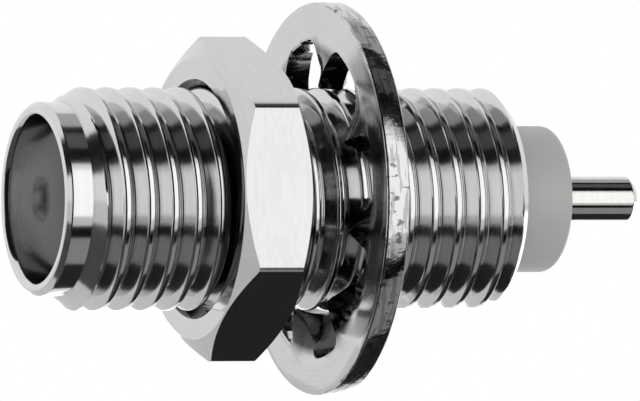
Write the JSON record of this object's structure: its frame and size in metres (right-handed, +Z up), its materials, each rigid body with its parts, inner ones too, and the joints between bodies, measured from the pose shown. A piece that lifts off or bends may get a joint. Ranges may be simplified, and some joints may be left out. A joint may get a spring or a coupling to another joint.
{
  "type": "panel-mount coaxial connector jack",
  "caption": "Small screw-on coaxial jack: threaded shell, dielectric, slotted socket contact with a solder pin, hex nut and internal-tooth lock washer.",
  "frame": {"origin": "centre of the mating face, on the connector's axis", "axes": "+X along the axis from the mating face towards the solder pin, +Z up"},
  "size_m": [0.018, 0.011, 0.011],
  "materials": {
    "shell_metal": "fine-turned, bright, passivated",
    "dielectric": "waxy off-white fluoropolymer, machined",
    "contact_metal": "plated, bright",
    "nut_metal": "bright, flat faces finely brushed",
    "washer_metal": "stamped spring steel, plated, with a sheared rim"
  },
  "bodies": {
    "jack": {"shell": "shell_metal", "dielectric": "dielectric", "centre_contact": "contact_metal"},
    "washer": {"lock_washer": "washer_metal"},
    "nut": {"hex_nut": "nut_metal"}
  },
  "joints": [
    {"name": "washer_slide", "type": "slide", "parent": "jack", "child": "washer", "axis": [1, 0, 0], "range_m": [-0.00353, 0.00423]},
    {"name": "nut_turn", "type": "hinge", "parent": "washer", "child": "nut", "pos_m": [0.00577, 0, 0], "axis": [1, 0, 0], "range_deg": [-1800, 2160]}
  ],
  "couplings": [
    {"joint": "nut_turn", "follows": "washer_slide", "rad_per_m": 8905.3}
  ]
}
